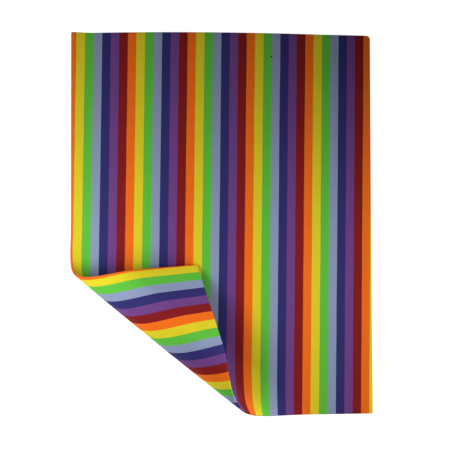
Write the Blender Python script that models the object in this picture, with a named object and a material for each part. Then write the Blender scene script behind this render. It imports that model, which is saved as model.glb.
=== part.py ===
"""A sheet of striped craft foam. It lies flat, with its lower left corner rolled over onto its face.

The sheet is one piece of closed-cell foam cut to a standard size. It is first cut flat, as the
maker cuts it, with an upper edge that bows a little, and then its corner is rolled: each point
keeps its distance along the sheet, so nothing is stretched. X runs across the stripes, Y along
them, and Z is up. The origin lies under the middle of the sheet, on the surface that it rests on.
"""

import math

import bmesh
import bpy
from mathutils import Vector

# The cut sheet, in metres. The length is the mean one, because the upper edge was cut in a slight bow
SHEET_WIDTH = 0.2794
SHEET_LENGTH = 0.3556
THICKNESS = 0.002
UPPER_EDGE_BOW = 0.0024

# The corners' radii, in metres. The turned corner is the lower left one
TURNED_CORNER_RADIUS = 0.0015
LOWER_RIGHT_RADIUS = 0.001
UPPER_RIGHT_RADIUS = 0.005
UPPER_LEFT_RADIUS = 0.0015

# The roll. It runs from the corner into the sheet at an angle to the lower edge. Its length is
# measured along the sheet, from the line where it leaves the table to the corner
ROLL_DIRECTION = math.radians(50.4)
ROLL_LENGTH = 0.145

# The roll's section is a chain of tangent arcs and then a straight flap. The crown turns as far as
# it must for the corner to come down on the sheet's face
LIFT_RADIUS = 0.0734
LIFT_TURN = math.radians(17.7)
RISE_RADIUS = 0.0296
RISE_TURN = math.radians(24.7)
BEND_RADIUS = 0.0152
BEND_TURN = math.radians(88.1)
CROWN_RADIUS = 0.0234
LARGEST_CROWN_TURN = math.radians(130)

# The gap under the resting corner, in metres
REST_GAP = 0.0003

# How finely the round shapes are divided
ROLL_STEP = math.radians(4)
CORNER_STEP = math.radians(15)
BOW_STEPS = 16

# The foam's surface
FOAM_COLOUR = (0.30, 0.22, 0.16, 1.0)
FOAM_ROUGHNESS = 0.85
FOAM_METALLIC = 0.0


def clear_scene():
    """Remove the objects that the scene starts with."""
    for thing in list(bpy.data.objects):
        bpy.data.objects.remove(thing, do_unlink=True)


def foam_material():
    """The matte foam, in the middle tone of its stripes."""
    material = bpy.data.materials.new("craft_foam")
    material.use_nodes = True
    surface = material.node_tree.nodes["Principled BSDF"]
    surface.inputs["Base Color"].default_value = FOAM_COLOUR
    surface.inputs["Roughness"].default_value = FOAM_ROUGHNESS
    surface.inputs["Metallic"].default_value = FOAM_METALLIC
    return material


def corner_points(corner, inward_x, inward_y, radius):
    """Points of one rounded corner, counter-clockwise around the sheet."""
    centre = Vector((corner[0] + inward_x * radius, corner[1] + inward_y * radius))
    start = math.atan2(-inward_y, -inward_x) - math.radians(45)
    steps = round(math.radians(90) / CORNER_STEP)
    angles = [start + math.radians(90) * step / steps for step in range(steps + 1)]
    return [(centre.x + radius * math.cos(angle), centre.y + radius * math.sin(angle)) for angle in angles]


def lower_edge():
    """The lower edge's place, which centres the sheet's greatest length on the origin."""
    return -(SHEET_LENGTH + UPPER_EDGE_BOW / 3) / 2


def bow_rise(x):
    """How far the upper edge lies beyond its ends. The mean of this is two thirds of the bow."""
    return UPPER_EDGE_BOW * (1 - (2 * x / SHEET_WIDTH) ** 2)


def upper_edge():
    """The bowed upper edge with its two corners, from right to left."""
    right = SHEET_WIDTH / 2
    ends = lower_edge() + SHEET_LENGTH - UPPER_EDGE_BOW * 2 / 3
    first = right - UPPER_RIGHT_RADIUS
    last = UPPER_LEFT_RADIUS - right
    between = [(first + (last - first) * step / BOW_STEPS, ends) for step in range(1, BOW_STEPS)]
    straight = (
        corner_points((right, ends), -1, -1, UPPER_RIGHT_RADIUS)
        + between
        + corner_points((-right, ends), 1, -1, UPPER_LEFT_RADIUS)
    )
    return [(x, y + bow_rise(x)) for x, y in straight]


def sheet_outline():
    """The flat sheet's outline, counter-clockwise from the corner that is turned over."""
    right = SHEET_WIDTH / 2
    bottom = lower_edge()
    return (
        corner_points((-right, bottom), 1, 1, TURNED_CORNER_RADIUS)
        + corner_points((right, bottom), -1, 1, LOWER_RIGHT_RADIUS)
        + upper_edge()
    )


def roll_arcs(crown_turn):
    """The arcs of the roll's section, as radius and turn."""
    return [
        (LIFT_RADIUS, LIFT_TURN),
        (RISE_RADIUS, RISE_TURN),
        (BEND_RADIUS, BEND_TURN),
        (CROWN_RADIUS, crown_turn),
    ]


def section_at(distance, arcs):
    """The middle of the sheet's thickness at a distance along the roll: way along, height and angle."""
    along, height, angle = 0.0, 0.0, 0.0
    for radius, turn in arcs:
        part = min(distance / radius, turn)
        along += radius * (math.sin(angle + part) - math.sin(angle))
        height += radius * (math.cos(angle) - math.cos(angle + part))
        angle += part
        distance -= part * radius
    return along + distance * math.cos(angle), height + distance * math.sin(angle), angle


def corner_distance():
    """How far along the roll the rounded corner reaches."""
    cut_back = math.cos(ROLL_DIRECTION) + math.sin(ROLL_DIRECTION) - 1
    return ROLL_LENGTH - TURNED_CORNER_RADIUS * cut_back


def corner_clearance(crown_turn):
    """The gap between the corner's lower edge and the sheet's face, for one turn of the crown."""
    height, angle = section_at(corner_distance(), roll_arcs(crown_turn))[1:]
    return height - THICKNESS / 2 * abs(math.cos(angle)) - THICKNESS / 2


def resting_crown_turn():
    """The crown's turn that lets the corner down on the face. A corner too short to reach stays up."""
    low, high = 0.0, LARGEST_CROWN_TURN
    while high - low > 1e-9:
        middle = (low + high) / 2
        if corner_clearance(middle) > REST_GAP:
            low = middle
        else:
            high = middle
    return low


def roll_stations(arcs):
    """The distances along the roll where the sheet is divided, so that its facets follow the arcs."""
    stations = [0.0]
    for radius, turn in arcs:
        steps = max(1, math.ceil(turn / ROLL_STEP))
        start = stations[-1]
        stations += [start + radius * turn * step / steps for step in range(1, steps + 1)]
    return [station for station in stations if station < corner_distance()]


def roll_way():
    """The way along the roll in the flat sheet, towards the corner."""
    return Vector((-math.cos(ROLL_DIRECTION), -math.sin(ROLL_DIRECTION), 0.0))


def roll_start():
    """A point of the line where the sheet leaves the table."""
    corner = Vector((-SHEET_WIDTH / 2, lower_edge(), 0.0))
    return corner - roll_way() * ROLL_LENGTH


def rolled(point, arcs):
    """Where a point of the flat slab comes to lie once the corner is rolled."""
    distance = (point - roll_start()).dot(roll_way())
    if distance <= 0:
        return point
    along, height, angle = section_at(distance, arcs)
    above_middle = point.z - THICKNESS / 2
    place = point + roll_way() * (along - distance - above_middle * math.sin(angle))
    place.z = THICKNESS / 2 + height + above_middle * math.cos(angle)
    return place


def flat_slab(stations):
    """The cut sheet as a flat slab, divided at the roll's stations."""
    slab = bmesh.new()
    slab.faces.new([slab.verts.new((x, y, 0.0)) for x, y in sheet_outline()])
    for station in stations:
        cut = roll_start() + roll_way() * station
        everything = slab.verts[:] + slab.edges[:] + slab.faces[:]
        bmesh.ops.bisect_plane(slab, geom=everything, dist=1e-6, plane_co=cut, plane_no=roll_way())
    extruded = bmesh.ops.extrude_face_region(slab, geom=slab.faces[:])["geom"]
    upper_face = [item for item in extruded if isinstance(item, bmesh.types.BMVert)]
    bmesh.ops.translate(slab, verts=upper_face, vec=(0.0, 0.0, THICKNESS))
    return slab


def foam_sheet():
    """The sheet with its corner rolled over."""
    arcs = roll_arcs(resting_crown_turn())
    slab = flat_slab(roll_stations(arcs))
    for vertex in slab.verts:
        vertex.co = rolled(vertex.co.copy(), arcs)
    bmesh.ops.recalc_face_normals(slab, faces=slab.faces[:])
    mesh = bpy.data.meshes.new("foam_sheet")
    slab.to_mesh(mesh)
    slab.free()
    mesh.materials.append(foam_material())
    mesh.shade_smooth()
    mesh.set_sharp_from_angle(angle=math.radians(30))
    sheet = bpy.data.objects.new("foam_sheet", mesh)
    bpy.context.scene.collection.objects.link(sheet)
    return sheet


clear_scene()
foam_sheet()
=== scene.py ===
"""A sheet of striped craft foam, lying flat on a pale table with its lower left corner rolled over.

The sheet is first made flat, as the maker cuts it from a laminated block, and is then rolled. Each
point keeps the place that it had in the flat sheet as an attribute, so the stripes run through the
thickness and round the roll as they do in the real foam. X runs across the stripes, Y along them,
and Z is up. Lengths are in metres.
"""

import enum
import logging
import math
from collections.abc import Callable
from dataclasses import dataclass, field

import bpy
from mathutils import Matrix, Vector


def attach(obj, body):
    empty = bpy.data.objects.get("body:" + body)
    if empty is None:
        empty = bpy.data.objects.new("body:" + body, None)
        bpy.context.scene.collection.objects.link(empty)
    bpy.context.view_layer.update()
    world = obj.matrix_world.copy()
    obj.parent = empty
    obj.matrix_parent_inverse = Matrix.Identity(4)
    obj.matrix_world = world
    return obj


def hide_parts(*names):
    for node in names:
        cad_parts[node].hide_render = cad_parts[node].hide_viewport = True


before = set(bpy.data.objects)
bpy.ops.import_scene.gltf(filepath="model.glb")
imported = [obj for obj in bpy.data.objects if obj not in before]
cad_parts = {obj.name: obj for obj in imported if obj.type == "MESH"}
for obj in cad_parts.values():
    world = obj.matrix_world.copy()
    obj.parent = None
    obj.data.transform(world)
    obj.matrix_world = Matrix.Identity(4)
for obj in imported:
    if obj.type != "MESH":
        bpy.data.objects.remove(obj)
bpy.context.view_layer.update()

NODE = "foam_sheet"
MILLIMETRE = 0.001
THICKNESS = 2 * MILLIMETRE
PLACE_ATTRIBUTE = "flat_place"
WHITE = (1.0, 1.0, 1.0, 1.0)

# How closely points and cuts are told apart in the mesh, and how closely the roll's turn is found
SAME_CORNER = 0.1 * MILLIMETRE
SAME_CUT = 0.001 * MILLIMETRE
SAME_TURN = 1e-9

log = logging.getLogger("foam_sheet")


class StripeColour(enum.Enum):
    """The foam layers' colours, in their order from the sheet's left edge, as sRGB hex values."""

    YELLOW = "#d6c722"
    GREEN = "#5ab73b"
    GREY_LILAC = "#8693b1"
    INDIGO = "#2e2a69"
    PURPLE = "#6a3e7f"
    DARK_RED = "#7e1416"
    ORANGE = "#eb6a11"


def linear_colour(code: str) -> tuple[float, float, float, float]:
    """Turn an sRGB hex value to a linear colour.

    Args:
        code: The colour as a hash and six hex digits.

    Returns:
        Linear red, green and blue, and an alpha of one.
    """
    channels = [int(code[start:start + 2], 16) / 255 for start in (1, 3, 5)]
    linear = [c / 12.92 if c <= 0.04045 else ((c + 0.055) / 1.055) ** 2.4 for c in channels]
    return (linear[0], linear[1], linear[2], 1.0)


def add_node(
    tree: bpy.types.NodeTree,
    kind: str,
    settings: dict[str, object] | None = None,
    inputs: dict[str | int, object] | None = None,
) -> bpy.types.Node:
    """Add a node to a tree, with its settings, and with its sockets set or linked.

    Args:
        tree: The node tree.
        kind: The node's type name.
        settings: Properties of the node, by name.
        inputs: Values for its input sockets, or the output sockets that they are linked from.

    Returns:
        The new node.
    """
    node = tree.nodes.new(kind)
    for name, value in (settings or {}).items():
        setattr(node, name, value)
    for name, value in (inputs or {}).items():
        if isinstance(value, bpy.types.NodeSocket):
            tree.links.new(value, node.inputs[name])
        else:
            node.inputs[name].default_value = value
    return node


@dataclass(frozen=True)
class SpeckAndPinholeShade:
    """One small spot on the foam's face, by its place in the flat sheet from the lower left corner.

    A real speck has its own colour. A pinhole is drawn as a dark disc of painted shade, with no hollow. Its
    core, a share of its radius, has the full colour, which fades out from there.
    """

    x: float
    y: float
    radius: float
    colour: str
    core: float = 0.5


@dataclass(frozen=True)
class SkivedFoam:
    """Closed-cell EVA foam: coloured layers are laminated to a block, which is skived to thin sheets.

    The skiving knife opens the cells that it passes through, which gives the eye a dead matte face
    with a fine grain. The layers are coloured through, so the cut edges show the same stripes.
    """

    stripe_width: float = 7.885 * MILLIMETRE
    first_border: float = -0.28 * MILLIMETRE
    lean: float = 0.015
    wander: float = 0.3 * MILLIMETRE
    wander_length: float = 60 * MILLIMETRE
    wander_detail: float = 1.0

    # The first layer narrows towards the lower face. The narrowing ends within the second layer,
    # and both of its places are counted in stripes from the left edge
    narrowing: float = 1.2 * MILLIMETRE
    narrowing_full: float = 0.3
    narrowing_end: float = 1.1

    cell_size: float = 0.5 * MILLIMETRE
    cell_depth: float = 0.03 * MILLIMETRE
    mottle_size: float = 9 * MILLIMETRE
    mottle_detail: float = 6.0
    mottle_strength: float = 0.03
    roughness: float = 0.72
    ior: float = 1.49
    specular_level: float = 0.12
    specks_and_pinhole_shade: tuple[SpeckAndPinholeShade, ...] = (
        # The first spot is painted shade: a pinhole in the green layer, drawn as a dark disc with no hollow.
        SpeckAndPinholeShade(186.0 * MILLIMETRE, 334.0 * MILLIMETRE, 1.1 * MILLIMETRE, "#0c1f10"),
        # The second is a lighter speck in the foam itself.
        SpeckAndPinholeShade(29.6 * MILLIMETRE, 347.5 * MILLIMETRE, 0.55 * MILLIMETRE, "#57698c"),
    )

    def material(self) -> bpy.types.Material:
        """Build the foam's material.

        Returns:
            A material that reads the flat place of each point.
        """
        material = bpy.data.materials.new("skived_eva_foam")
        material.use_nodes = True
        tree = material.node_tree
        surface = tree.nodes["Principled BSDF"]
        place = add_node(tree, "ShaderNodeAttribute", {"attribute_name": PLACE_ATTRIBUTE}).outputs["Vector"]
        colour = self.marked_and_pinhole_shaded(tree, place, self.mottled(tree, place, self.stripes(tree, place)))
        tree.links.new(colour, surface.inputs["Base Color"])
        tree.links.new(self.cells(tree, place), surface.inputs["Normal"])
        surface.inputs["Roughness"].default_value = self.roughness
        surface.inputs["IOR"].default_value = self.ior
        surface.inputs["Specular IOR Level"].default_value = self.specular_level
        return material

    def stripes(self, tree: bpy.types.NodeTree, place: bpy.types.NodeSocket) -> bpy.types.NodeSocket:
        """Draw the laminated layers.

        Args:
            tree: The material's tree.
            place: The point's place in the flat sheet.

        Returns:
            The socket with the layer's colour.
        """
        x, y, z = add_node(tree, "ShaderNodeSeparateXYZ", inputs={0: place}).outputs
        swing = self.swing(tree, place)
        upright = add_node(tree, "ShaderNodeMath", {"operation": "MULTIPLY_ADD"}, {0: y, 1: -self.lean, 2: x})
        whole = add_node(tree, "ShaderNodeMath", {"operation": "ADD"}, {0: upright.outputs[0], 1: swing})
        across = add_node(
            tree, "ShaderNodeMath", {"operation": "SUBTRACT"},
            {0: whole.outputs[0], 1: self.first_layer_shift(tree, x, z)},
        )
        repeat = self.stripe_width * len(StripeColour)
        turns = add_node(tree, "ShaderNodeMath", {"operation": "DIVIDE"}, {0: across.outputs[0], 1: repeat})
        turn = add_node(tree, "ShaderNodeMath", {"operation": "FRACT"}, {0: turns.outputs[0]})
        return self.layer_colour(tree, turn.outputs[0])

    def swing(self, tree: bpy.types.NodeTree, place: bpy.types.NodeSocket) -> bpy.types.NodeSocket:
        """Let the layers' borders wander a little to both sides.

        Args:
            tree: The material's tree.
            place: The point's place in the flat sheet.

        Returns:
            The socket with the shift across the stripes, which also places the first border.
        """
        noise = add_node(
            tree, "ShaderNodeTexNoise", {"noise_dimensions": "3D"},
            {"Vector": place, "Scale": 1 / self.wander_length, "Detail": self.wander_detail},
        )
        shift = add_node(
            tree, "ShaderNodeMath", {"operation": "MULTIPLY_ADD"},
            {0: noise.outputs["Fac"], 1: 2 * self.wander, 2: -self.wander - self.first_border},
        )
        return shift.outputs[0]

    def first_layer_shift(
        self, tree: bpy.types.NodeTree, x: bpy.types.NodeSocket, z: bpy.types.NodeSocket
    ) -> bpy.types.NodeSocket:
        """Narrow the first layer towards the sheet's lower face.

        Args:
            tree: The material's tree.
            x: The point's distance from the left edge.
            z: The point's height over the lower face.

        Returns:
            The socket with the shift across the stripes.
        """
        first_layer = add_node(
            tree, "ShaderNodeMapRange",
            inputs={"Value": x, "From Min": self.narrowing_full * self.stripe_width,
                    "From Max": self.narrowing_end * self.stripe_width,
                    "To Min": self.narrowing, "To Max": 0.0},
        )
        beneath = add_node(
            tree, "ShaderNodeMapRange",
            inputs={"Value": z, "From Min": 0.0, "From Max": THICKNESS, "To Min": 1.0, "To Max": 0.0},
        )
        shift = add_node(
            tree, "ShaderNodeMath", {"operation": "MULTIPLY"},
            {0: first_layer.outputs["Result"], 1: beneath.outputs["Result"]},
        )
        return shift.outputs[0]

    def layer_colour(self, tree: bpy.types.NodeTree, turn: bpy.types.NodeSocket) -> bpy.types.NodeSocket:
        """Give each layer its colour, with hard borders between them.

        Args:
            tree: The material's tree.
            turn: The place within one repeat of the layers, from 0 to 1.

        Returns:
            The socket with the layer's colour.
        """
        layers = list(StripeColour)
        node = add_node(tree, "ShaderNodeValToRGB", inputs={"Fac": turn})
        ramp = node.color_ramp
        ramp.interpolation = "CONSTANT"
        ramp.elements[0].color = linear_colour(layers[0].value)
        ramp.elements[1].position = (len(layers) - 1) / len(layers)
        ramp.elements[1].color = linear_colour(layers[-1].value)
        for index, layer in enumerate(layers[1:-1], start=1):
            ramp.elements.new(index / len(layers)).color = linear_colour(layer.value)
        return node.outputs["Color"]

    def mottled(
        self, tree: bpy.types.NodeTree, place: bpy.types.NodeSocket, colour: bpy.types.NodeSocket
    ) -> bpy.types.NodeSocket:
        """Vary the layers' tone a little, as uneven cells do.

        Args:
            tree: The material's tree.
            place: The point's place in the flat sheet.
            colour: The layer's colour.

        Returns:
            The socket with the varied colour.
        """
        noise = add_node(
            tree, "ShaderNodeTexNoise",
            inputs={"Vector": place, "Scale": 1 / self.mottle_size, "Detail": self.mottle_detail},
        )
        tone = add_node(
            tree, "ShaderNodeMapRange",
            inputs={"Value": noise.outputs["Fac"], "To Min": 1 - self.mottle_strength,
                    "To Max": 1 + self.mottle_strength},
        )
        toned = add_node(
            tree, "ShaderNodeHueSaturation", inputs={"Color": colour, "Value": tone.outputs["Result"]}
        )
        return toned.outputs["Color"]

    def marked_and_pinhole_shaded(
        self, tree: bpy.types.NodeTree, place: bpy.types.NodeSocket, colour: bpy.types.NodeSocket
    ) -> bpy.types.NodeSocket:
        """Add the speck and the pinhole's painted shade to the colour.

        Args:
            tree: The material's tree.
            place: The point's place in the flat sheet.
            colour: The colour without the speck and the painted pinhole shade.

        Returns:
            The socket with the speck and the painted pinhole shade added.
        """
        for spot in self.specks_and_pinhole_shade:
            # Each spot blends its colour in. The dark one is painted shade that stands for a pinhole.
            centre = (spot.x, spot.y, THICKNESS)
            away = add_node(tree, "ShaderNodeVectorMath", {"operation": "DISTANCE"}, {0: place, 1: centre})
            share = add_node(
                tree, "ShaderNodeMapRange", {"interpolation_type": "SMOOTHSTEP"},
                {"Value": away.outputs["Value"], "From Min": spot.radius * spot.core,
                 "From Max": spot.radius, "To Min": 1.0, "To Max": 0.0},
            )
            mix = add_node(tree, "ShaderNodeMix", {"data_type": "RGBA"}, {0: share.outputs["Result"]})
            plain_colour, spot_colour = [socket for socket in mix.inputs if socket.type == "RGBA"]
            tree.links.new(colour, plain_colour)
            spot_colour.default_value = linear_colour(spot.colour)
            colour = [socket for socket in mix.outputs if socket.type == "RGBA"][0]
        return colour

    def cells(self, tree: bpy.types.NodeTree, place: bpy.types.NodeSocket) -> bpy.types.NodeSocket:
        """Raise the fine grain of the opened cells. Real ones are 0.1 to 0.2 mm, too fine to show.

        Args:
            tree: The material's tree.
            place: The point's place in the flat sheet.

        Returns:
            The socket with the bumped normal.
        """
        grain = add_node(
            tree, "ShaderNodeTexVoronoi", inputs={"Vector": place, "Scale": 1 / self.cell_size}
        )
        bump = add_node(
            tree, "ShaderNodeBump",
            inputs={"Height": grain.outputs["Distance"], "Distance": self.cell_depth, "Strength": 1.0},
        )
        return bump.outputs["Normal"]


@dataclass(frozen=True)
class LightTable:
    """Opal glass over a light box: an even white glow that leaves only the faintest shadow.

    It is clear from below, so that the underside of what lies on it shows.
    """

    tone: float = 0.40
    glow: float = 0.93
    roughness: float = 0.9

    def material(self) -> bpy.types.Material:
        """Build the table's material.

        Returns:
            A material that glows on its upper side and is clear on its lower one.
        """
        material = bpy.data.materials.new("white_light_table")
        material.use_nodes = True
        tree = material.node_tree
        surface = tree.nodes["Principled BSDF"]
        surface.inputs["Base Color"].default_value = (self.tone, self.tone, self.tone, 1.0)
        surface.inputs["Roughness"].default_value = self.roughness
        surface.inputs["Specular IOR Level"].default_value = 0.0
        surface.inputs["Emission Color"].default_value = WHITE
        surface.inputs["Emission Strength"].default_value = self.glow
        side = add_node(tree, "ShaderNodeNewGeometry")
        clear = add_node(tree, "ShaderNodeBsdfTransparent")
        table = add_node(
            tree, "ShaderNodeMixShader",
            inputs={0: side.outputs["Backfacing"], 1: surface.outputs["BSDF"], 2: clear.outputs["BSDF"]},
        )
        tree.links.new(table.outputs["Shader"], tree.nodes["Material Output"].inputs["Surface"])
        return material


@dataclass
class RolledCorner:
    """The section of the rolled corner: tangent arcs, then a straight flap that rests on its tip.

    The roll also draws in towards its two open ends. The draw-in grows from one place along the
    roll to the outermost one, fades again beyond it, and is nothing where the roll is fullest.
    """

    direction: float = math.radians(50.4)
    length: float = 145 * MILLIMETRE
    radii: tuple[float, ...] = (73.4 * MILLIMETRE, 29.6 * MILLIMETRE, 15.2 * MILLIMETRE, 23.4 * MILLIMETRE)
    turns: tuple[float, ...] = (math.radians(17.7), math.radians(24.7), math.radians(88.1))
    largest_crown_turn: float = math.radians(130)
    rest_gap: float = 0.3 * MILLIMETRE
    facet_length: float = 0.8 * MILLIMETRE
    outermost: float = 48 * MILLIMETRE
    draw_in: float = 0.95 * MILLIMETRE
    draw_in_start: float = 26 * MILLIMETRE
    draw_in_fade: float = 40 * MILLIMETRE
    fullest_place: float = -15 * MILLIMETRE

    def arcs(self, crown_turn: float) -> list[tuple[float, float]]:
        """Pair the arcs' radii with their turns, the crown's last."""
        return list(zip(self.radii, (*self.turns, crown_turn)))

    def section_at(self, distance: float, crown_turn: float) -> tuple[float, float, float]:
        """Follow the section for a distance.

        Args:
            distance: The way along the sheet from where it leaves the table.
            crown_turn: How far the crown turns.

        Returns:
            The way along the table, the height over the flat sheet's middle, and the angle.
        """
        along, height, angle = 0.0, 0.0, 0.0
        for radius, turn in self.arcs(crown_turn):
            part = min(distance / radius, turn)
            along += radius * (math.sin(angle + part) - math.sin(angle))
            height += radius * (math.cos(angle) - math.cos(angle + part))
            angle += part
            distance -= part * radius
        return along + distance * math.cos(angle), height + distance * math.sin(angle), angle

    def resting_crown_turn(self, reach: float) -> float:
        """Find the crown's turn that lets the corner down on the sheet's face.

        Args:
            reach: How far along the roll the rounded corner reaches.

        Returns:
            The turn in radians.
        """
        low, high = 0.0, self.largest_crown_turn
        while high - low > SAME_TURN:
            middle = (low + high) / 2
            height, angle = self.section_at(reach, middle)[1:]
            if height - THICKNESS / 2 * abs(math.cos(angle)) - THICKNESS / 2 > self.rest_gap:
                low = middle
            else:
                high = middle
        return low

    def way(self) -> Vector:
        """The way along the roll in the flat sheet, towards the corner."""
        return Vector((-math.cos(self.direction), -math.sin(self.direction), 0.0))

    def axis(self) -> Vector:
        """The roll's axis in the flat sheet, from the corner towards the lower edge."""
        return Vector((math.sin(self.direction), -math.cos(self.direction), 0.0))

    def drawn_in(self, distance: float, aside: float) -> float:
        """How far the roll draws in towards its two open ends, where the foam is free to bend more.

        Args:
            distance: The way along the sheet from where it leaves the table.
            aside: The place along the roll's axis, from the corner towards the lower edge.

        Returns:
            The length that the point moves against the roll's way.
        """
        to_corner = self.length - distance
        middle = to_corner * (math.tan(self.direction) - 1 / math.tan(self.direction)) / 2
        half = (self.length - self.outermost) / math.sin(2 * self.direction)
        share = (aside - middle - self.fullest_place) / half
        if distance < self.outermost:
            near = max(0.0, (distance - self.draw_in_start) / (self.outermost - self.draw_in_start))
        else:
            near = max(0.0, 1 - (distance - self.outermost) / self.draw_in_fade)
        return self.draw_in * share ** 2 * near * near * (3 - 2 * near)


@dataclass
class FoamSheet:
    """The sheet: cut flat with soft edges and four corner radii, then rolled.

    An ear is a corner that stands beyond the upper edge's bow, and a hollow is an edge cut short of
    the straight line. Both fade out within the trim depth inside the edge.
    """

    width: float = 279.4 * MILLIMETRE
    length: float = 355.6 * MILLIMETRE
    upper_edge_bow: float = 2.4 * MILLIMETRE
    upper_right_ear: float = 0.7 * MILLIMETRE
    right_ear_length: float = 48 * MILLIMETRE
    upper_left_ear: float = 1.3 * MILLIMETRE
    left_ear_length: float = 17 * MILLIMETRE
    right_edge_hollow: float = 0.2 * MILLIMETRE
    lower_edge_hollow: float = 1.2 * MILLIMETRE
    lower_hollow_place: float = 124 * MILLIMETRE
    lower_hollow_reach: float = 40 * MILLIMETRE
    trim_depth: float = 30 * MILLIMETRE
    lower_left_radius: float = 1.5 * MILLIMETRE
    lower_right_radius: float = 1.0 * MILLIMETRE
    upper_right_radius: float = 3.5 * MILLIMETRE
    upper_left_radius: float = 1.5 * MILLIMETRE
    corner_facets: int = 6
    edge_softness: float = 0.6 * MILLIMETRE
    edge_facets: int = 4
    sharp_edge: float = math.radians(60)
    smooth_angle: float = math.radians(40)
    cell_length: float = 6 * MILLIMETRE
    roll: RolledCorner = field(default_factory=RolledCorner)
    finish: SkivedFoam = field(default_factory=SkivedFoam)

    def left(self) -> float:
        """The left edge's place."""
        return -self.width / 2

    def right(self) -> float:
        """The right edge's place."""
        return self.width / 2

    def lower(self) -> float:
        """The lower edge's place, which centres the greatest length on the origin."""
        return -(self.length + self.upper_edge_bow / 3) / 2

    def upper(self) -> float:
        """The place of the upper edge's two ends. The bow rises beyond them."""
        return self.lower() + self.length - self.upper_edge_bow * 2 / 3

    def lower_left(self) -> Vector:
        """The lower left corner in the flat sheet, which is the one that is rolled over."""
        return Vector((self.left(), self.lower(), 0.0))

    def build(self) -> bpy.types.Object:
        """Returns:
            The finished piece.
        """
        piece = self.flat_outline()
        self.thicken(piece)
        self.divide(piece)
        self.cut_edges(piece)
        self.keep_flat_place(piece)
        self.roll_corner(piece)
        self.smooth(piece)
        piece.data.materials.clear()
        piece.data.materials.append(self.finish.material())
        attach(piece, "root")
        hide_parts(NODE)
        log.info("%s: %d faces", piece.name, len(piece.data.polygons))
        return piece

    def flat_outline(self) -> bpy.types.Object:
        """Cut the rectangle and round its corners.

        Returns:
            The outline as one flat face, with all four edges still straight.
        """
        bpy.ops.object.select_all(action="DESELECT")
        middle = (self.upper() + self.lower()) / 2
        bpy.ops.mesh.primitive_plane_add(size=1.0, location=(0.0, middle, 0.0))
        piece = bpy.context.object
        piece.name = "striped_foam_sheet"
        piece.data.name = piece.name
        piece.scale = (self.width, self.upper() - self.lower(), 1.0)
        bpy.ops.object.transform_apply(location=True, rotation=True, scale=True)
        corners = (
            ((self.left(), self.lower()), self.lower_left_radius),
            ((self.right(), self.lower()), self.lower_right_radius),
            ((self.right(), self.upper()), self.upper_right_radius),
            ((self.left(), self.upper()), self.upper_left_radius),
        )
        for corner, radius in corners:
            self.select_vertices(piece, lambda co: (co.xy - Vector(corner)).length < SAME_CORNER)
            bpy.ops.object.mode_set(mode="EDIT")
            bpy.ops.mesh.bevel(affect="VERTICES", offset=radius, segments=self.corner_facets)
            bpy.ops.object.mode_set(mode="OBJECT")
        return piece

    def select_vertices(self, piece: bpy.types.Object, wanted: Callable[[Vector], bool]) -> None:
        """Select a mesh's vertices by their place, in object mode.

        Args:
            piece: The object.
            wanted: Tells whether a vertex at a place is selected.
        """
        bpy.ops.object.mode_set(mode="EDIT")
        bpy.ops.mesh.select_mode(type="VERT")
        bpy.ops.mesh.select_all(action="DESELECT")
        bpy.ops.object.mode_set(mode="OBJECT")
        for vertex in piece.data.vertices:
            vertex.select = wanted(vertex.co)

    def thicken(self, piece: bpy.types.Object) -> None:
        """Raise the face to the sheet's thickness and soften its cut edges.

        Args:
            piece: The flat outline.
        """
        bpy.ops.object.mode_set(mode="EDIT")
        bpy.ops.mesh.select_all(action="SELECT")
        bpy.ops.mesh.extrude_region_move(TRANSFORM_OT_translate={"value": (0.0, 0.0, THICKNESS)})
        bpy.ops.mesh.select_all(action="SELECT")
        bpy.ops.mesh.normals_make_consistent(inside=False)
        bpy.ops.object.mode_set(mode="OBJECT")
        soften = piece.modifiers.new("soft_cut_edges", "BEVEL")
        soften.width = self.edge_softness
        soften.segments = self.edge_facets
        soften.limit_method = "ANGLE"
        soften.angle_limit = self.sharp_edge
        bpy.ops.object.modifier_apply(modifier=soften.name)

    def divide(self, piece: bpy.types.Object) -> None:
        """Divide the slab by straight cuts: a coarse grid, and close ones across the roll.

        Args:
            piece: The flat slab.
        """
        columns = round(self.width / self.cell_length)
        rows = round(self.length / self.cell_length)
        across, along, way = Vector((1, 0, 0)), Vector((0, 1, 0)), self.roll.way()
        cuts = [(across * (self.left() + self.width * i / columns), across) for i in range(1, columns)]
        cuts += [(along * (self.lower() + self.length * i / rows), along) for i in range(1, rows)]
        steps = math.floor(self.roll.length / self.roll.facet_length)
        start = self.roll_start()
        cuts += [(start + way * self.roll.facet_length * step, way) for step in range(steps)]
        bpy.ops.object.mode_set(mode="EDIT")
        for place, normal in cuts:
            bpy.ops.mesh.select_all(action="SELECT")
            bpy.ops.mesh.bisect(plane_co=place, plane_no=normal, threshold=SAME_CUT)
        bpy.ops.object.mode_set(mode="OBJECT")

    def cut_edges(self, piece: bpy.types.Object) -> None:
        """Cut the edges as unevenly as the real ones are, with the points near them following.

        Args:
            piece: The divided slab, with straight edges.
        """
        for vertex in piece.data.vertices:
            x, y = vertex.co.x, vertex.co.y
            vertex.co.y += self.bow_rise(x) * max(0.0, y / self.upper())
            vertex.co.y += self.ear_rise(x) * self.near_edge(self.upper() - y)
            vertex.co.y += self.lower_hollow(x) * self.near_edge(y - self.lower())
            narrowing = self.right_edge_hollow * (1 - (y / self.upper()) ** 2)
            vertex.co.x -= narrowing * self.near_edge(self.right() - x)

    def bow_rise(self, x: float) -> float:
        """How far the upper edge's bow rises beyond its ends."""
        return self.upper_edge_bow * (1 - (2 * x / self.width) ** 2)

    def ear_rise(self, x: float) -> float:
        """How far the two ears stand beyond the bow."""
        right_ear = self.upper_right_ear * max(0.0, 1 - (self.right() - x) / self.right_ear_length)
        left_ear = self.upper_left_ear * max(0.0, 1 - (x - self.left()) / self.left_ear_length)
        return right_ear + left_ear

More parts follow.
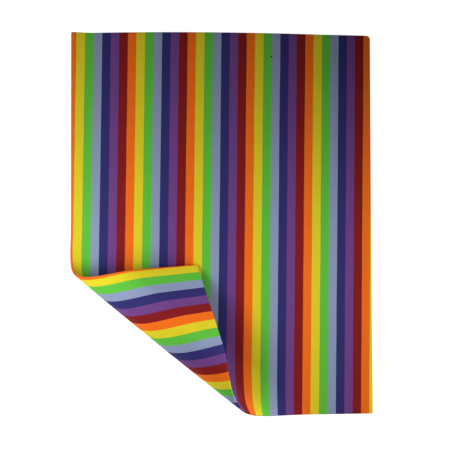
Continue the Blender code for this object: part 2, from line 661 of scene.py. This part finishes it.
    def lower_hollow(self, x: float) -> float:
        """How far the lower edge is cut short, most at the hollow's place."""
        off = (x - self.left() - self.lower_hollow_place) / self.lower_hollow_reach
        return self.lower_edge_hollow * (math.cos(math.pi / 2 * off) ** 2 if abs(off) < 1 else 0.0)

    def near_edge(self, inside: float) -> float:
        """A share that is one at a cut edge and fades to nothing some way inside it."""
        return max(0.0, 1 - inside / self.trim_depth)

    def keep_flat_place(self, piece: bpy.types.Object) -> None:
        """Store each point's place in the flat sheet, measured from the lower left corner.

        Args:
            piece: The flat slab.
        """
        corner = self.lower_left()
        places = piece.data.attributes.new(PLACE_ATTRIBUTE, "FLOAT_VECTOR", "POINT")
        for vertex, stored in zip(piece.data.vertices, places.data):
            stored.vector = vertex.co - corner

    def roll_start(self) -> Vector:
        """A point of the line where the sheet leaves the table."""
        return self.lower_left() - self.roll.way() * self.roll.length

    def roll_corner(self, piece: bpy.types.Object) -> None:
        """Roll the corner over. Each point keeps its distance along the sheet, but for the draw-in.

        Args:
            piece: The flat slab.
        """
        cut_back = math.cos(self.roll.direction) + math.sin(self.roll.direction) - 1
        crown_turn = self.roll.resting_crown_turn(self.roll.length - self.lower_left_radius * cut_back)
        corner, start = self.lower_left(), self.roll_start()
        way, axis = self.roll.way(), self.roll.axis()
        for vertex in piece.data.vertices:
            distance = (vertex.co - start).dot(way)
            if distance > 0:
                along, height, angle = self.roll.section_at(distance, crown_turn)
                above_middle = vertex.co.z - THICKNESS / 2
                inwards = self.roll.drawn_in(distance, (vertex.co - corner).dot(axis))
                place = vertex.co + way * (along - distance - above_middle * math.sin(angle) - inwards)
                place.z = THICKNESS / 2 + height + above_middle * math.cos(angle)
                vertex.co = place

    def smooth(self, piece: bpy.types.Object) -> None:
        """Shade the faces and the soft edges smoothly.

        Args:
            piece: The rolled sheet.
        """
        bpy.ops.object.select_all(action="DESELECT")
        piece.select_set(True)
        bpy.context.view_layer.objects.active = piece
        bpy.ops.object.shade_smooth_by_angle(angle=self.smooth_angle)


@dataclass(frozen=True)
class SoftLight:
    """One square light, in metres and watts. It faces the point that it is aimed at."""

    name: str
    place: tuple[float, float, float]
    aim: tuple[float, float, float]
    size: float
    power: float


@dataclass
class Studio:
    """The pale table, the soft light and the camera. Turns are in radians.

    The far light gives the fall-off from the lower right to the upper edge, the left one lights the
    roll, and the three small ones even out the face between them. The camera stands where the
    photograph's did, as fitted to the sheet's edges and stripes, and its focal length is counted in
    pixels of the photograph's frame.
    """

    floor_size: float = 6.0
    floor_drop: float = 0.1 * MILLIMETRE
    table: LightTable = field(default_factory=LightTable)
    camera_place: tuple[float, float, float] = (-0.02318, -0.0140, 0.5768)
    camera_turn: tuple[float, float, float] = (0.01951, -0.04545, -0.00277)
    focal_length_pixels: float = 620.0
    frame_pixels: float = 452.0
    sensor_width: float = 36.0
    backdrop_tone: float = 0.87
    sky_light: float = 0.14
    lights: tuple[SoftLight, ...] = (
        SoftLight("far_right", (0.88, 0.0, 0.19), (0.88, -0.23, 0.0), 0.40, 24.5),
        SoftLight("left", (-0.40, -0.14, 0.35), (-0.40, -0.14, 0.0), 0.30, 2.1),
        SoftLight("right", (0.12, -0.04, 0.18), (-0.10, -0.04, 0.0), 0.10, 0.175),
        SoftLight("middle_left", (-0.10, -0.08, 0.18), (-0.31, -0.08, 0.0), 0.10, 0.080),
        SoftLight("over_left", (-0.16, 0.0, 0.18), (0.0, -0.02, 0.0), 0.10, 0.055),
    )

    def build(self) -> None:
        """Make the floor, the lights, the sky and the camera."""
        self.add_floor()
        for light in self.lights:
            self.add_light(light)
        self.add_sky()
        self.add_camera()
        bpy.context.scene.view_settings.view_transform = "Standard"

    def add_floor(self) -> None:
        """Lay the table just under the sheet."""
        bpy.ops.object.select_all(action="DESELECT")
        bpy.ops.mesh.primitive_plane_add(size=self.floor_size, location=(0.0, 0.0, -self.floor_drop))
        floor = bpy.context.object
        floor.name = "floor"
        floor.data.materials.append(self.table.material())
        log.info("floor: %.1f m square", self.floor_size)

    def add_light(self, light: SoftLight) -> None:
        """Hang one soft square light.

        Args:
            light: The light.
        """
        data = bpy.data.lights.new(light.name, "AREA")
        data.shape = "SQUARE"
        data.size = light.size
        data.energy = light.power
        lamp = bpy.data.objects.new(light.name, data)
        lamp.location = light.place
        lamp.rotation_euler = (Vector(light.aim) - Vector(light.place)).to_track_quat("-Z", "Y").to_euler()
        lamp.visible_camera = False
        bpy.context.scene.collection.objects.link(lamp)

    def add_sky(self) -> None:
        """Put a pale backdrop all round, which shows in low views and gives the sheet little light."""
        world = bpy.data.worlds.new("pale_backdrop")
        world.use_nodes = True
        background = world.node_tree.nodes["Background"]
        background.inputs["Color"].default_value = WHITE
        ray = add_node(world.node_tree, "ShaderNodeLightPath")
        strength = add_node(
            world.node_tree, "ShaderNodeMapRange",
            inputs={"Value": ray.outputs["Is Camera Ray"],
                    "To Min": self.sky_light, "To Max": self.backdrop_tone},
        )
        world.node_tree.links.new(strength.outputs["Result"], background.inputs["Strength"])
        bpy.context.scene.world = world

    def add_camera(self) -> None:
        """Look down on the sheet, as the photograph does."""
        data = bpy.data.cameras.new("camera")
        data.sensor_fit = "HORIZONTAL"
        data.sensor_width = self.sensor_width
        data.lens = self.sensor_width * self.focal_length_pixels / self.frame_pixels
        camera = bpy.data.objects.new("camera", data)
        camera.location = self.camera_place
        camera.rotation_mode = "ZYX"
        camera.rotation_euler = self.camera_turn
        bpy.context.scene.collection.objects.link(camera)
        bpy.context.scene.camera = camera


def main() -> None:
    """Build the studio and the sheet."""
    logging.basicConfig(level=logging.INFO, format="%(name)s: %(message)s")
    Studio().build()
    FoamSheet().build()


if __name__ == "__main__":
    main()
